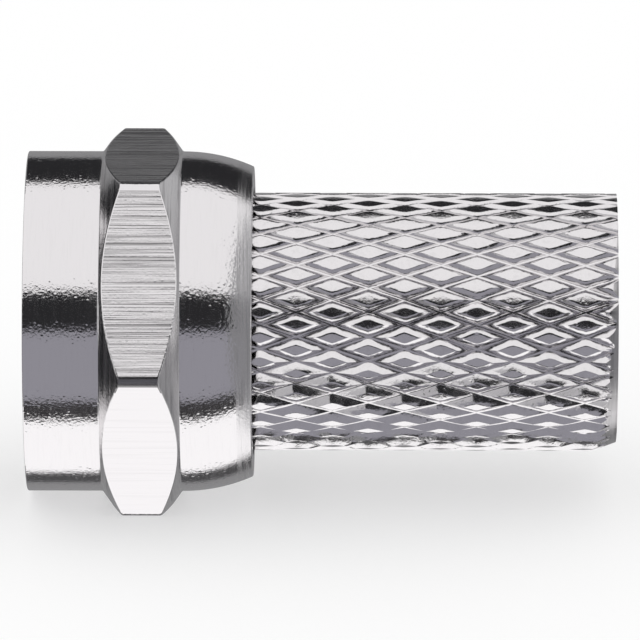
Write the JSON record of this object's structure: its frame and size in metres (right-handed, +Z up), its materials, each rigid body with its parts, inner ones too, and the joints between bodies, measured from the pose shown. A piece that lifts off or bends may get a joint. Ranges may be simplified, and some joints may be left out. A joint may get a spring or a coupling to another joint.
{
  "type": "f connector",
  "caption": "Twist-on coaxial cable plug: a free-turning threaded hexagon nut held on a diamond-knurled sleeve that screws over the cable.",
  "frame": {"origin": "on the common axis, in the plane of the nut's mouth, where the port goes in", "axes": "+X along the axis from the nut's mouth to the knurled sleeve's cable end; +Z up, with one flat of the hexagon facing down, as it lies in the picture; -X is the way the port leaves"},
  "size_m": [0.0186, 0.0126, 0.011],
  "materials": {
    "nickel_plate": "bright nickel plate over turned brass",
    "nickel_plate_knurl": "nickel plate over knurled brass"
  },
  "bodies": {
    "connector": {"connector_body": "nickel_plate_knurl"},
    "nut": {"coupling_nut": "nickel_plate"}
  },
  "joints": [
    {"name": "nut_spin", "type": "hinge", "parent": "connector", "child": "nut", "pos_m": [0, 0, 0], "axis": [1, 0, 0], "continuous": true}
  ]
}
